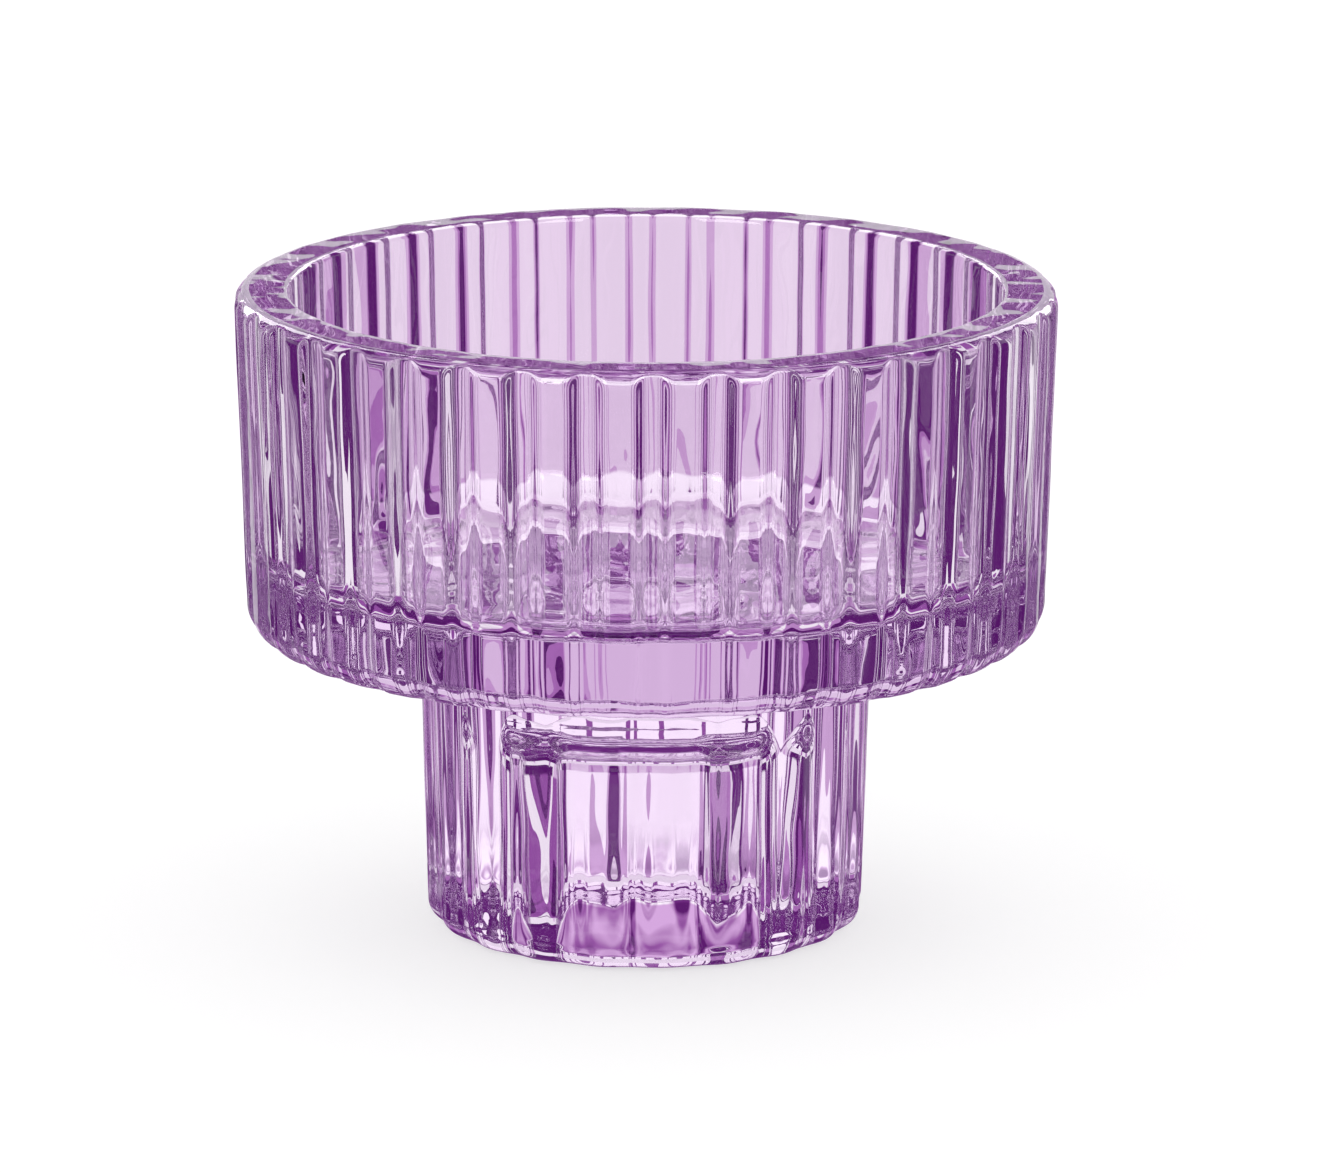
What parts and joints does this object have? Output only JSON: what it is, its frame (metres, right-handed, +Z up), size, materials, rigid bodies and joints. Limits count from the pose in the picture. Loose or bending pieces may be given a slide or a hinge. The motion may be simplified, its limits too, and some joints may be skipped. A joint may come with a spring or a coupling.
{
  "type": "pedestal candle holder",
  "caption": "Transparent lilac pressed-glass candle holder: a wide fluted cup on a narrower fluted foot, whose underside is a socket for a taper candle.",
  "frame": {"origin": "on the holder's axis, in the plane that the foot stands on", "axes": "+Z up along the holder's axis, out of the cup; +X through the crest of a cup rib"},
  "size_m": [0.08, 0.08, 0.0635],
  "materials": {
    "lilac_glass": "gloss"
  },
  "bodies": {
    "root": {"glass_holder": "lilac_glass"}
  },
  "joints": []
}
